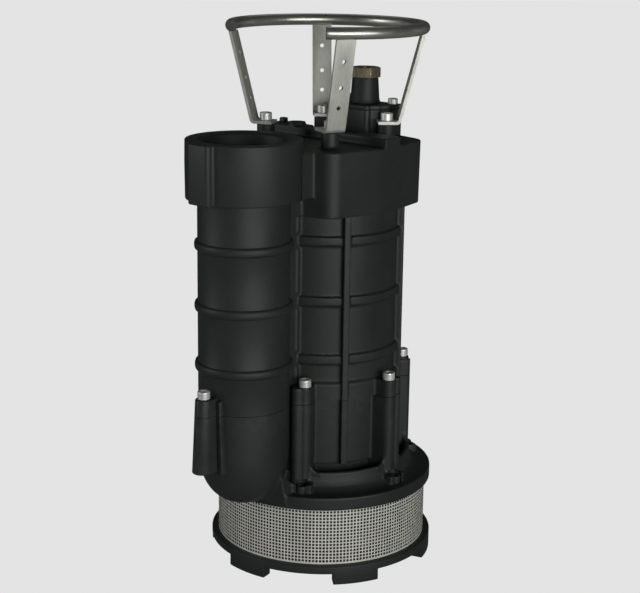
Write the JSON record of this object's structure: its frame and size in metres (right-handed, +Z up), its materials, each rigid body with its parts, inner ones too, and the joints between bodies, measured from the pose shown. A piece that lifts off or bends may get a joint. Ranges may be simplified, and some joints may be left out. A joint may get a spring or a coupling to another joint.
{
  "type": "submersible drainage pump",
  "caption": "Upright submersible pump with a finned motor housing, side discharge riser, strainer base on feet and a ring handle.",
  "frame": {"origin": "on the floor under the middle of the pump's bounding box, between its feet", "axes": "+Z up along the motor's axis, -Y towards the discharge riser, +X to the right seen from the discharge side"},
  "size_m": [0.304, 0.3948, 0.723],
  "materials": {
    "black_casting": "black satin paint on cast iron",
    "strainer_steel": "perforated stainless sheet, satin",
    "handle_steel": "satin stainless bar and flat bar",
    "bolt_steel": "bright stainless socket head screws",
    "gland_brass": "pale machined brass"
  },
  "bodies": {
    "root": {"base_plate": "black_casting", "cable_entry_block": "black_casting", "cable_entry_lid": "black_casting", "cable_gland_body": "black_casting", "cable_gland_nut": "gland_brass", "discharge_collar": "black_casting", "discharge_lug_bolt": "bolt_steel", "discharge_riser": "black_casting", "entry_screw_left": "bolt_steel", "entry_screw_right": "bolt_steel", "flange_bolt_1": "bolt_steel", "flange_bolt_2": "bolt_steel", "flange_bolt_3": "bolt_steel", "flange_bolt_4": "bolt_steel", "flange_bolt_5": "bolt_steel", "flange_bolt_6": "bolt_steel", "handle_bolt_front_left": "bolt_steel", "handle_bolt_front_right": "bolt_steel", "handle_bolt_rear_left": "bolt_steel", "handle_bolt_rear_right": "bolt_steel", "handle_ring": "handle_steel", "handle_strap_front_left": "handle_steel", "handle_strap_front_right": "handle_steel", "handle_strap_rear_left": "handle_steel", "handle_strap_rear_right": "handle_steel", "motor_housing": "black_casting", "pump_casing": "black_casting", "strainer_bolt_1": "black_casting", "strainer_bolt_2": "black_casting", "strainer_bolt_3": "black_casting", "strainer_bolt_4": "black_casting", "strainer_bolt_5": "black_casting", "strainer_bolt_6": "black_casting", "strainer_screen": "strainer_steel", "top_cover": "black_casting"}
  },
  "joints": []
}
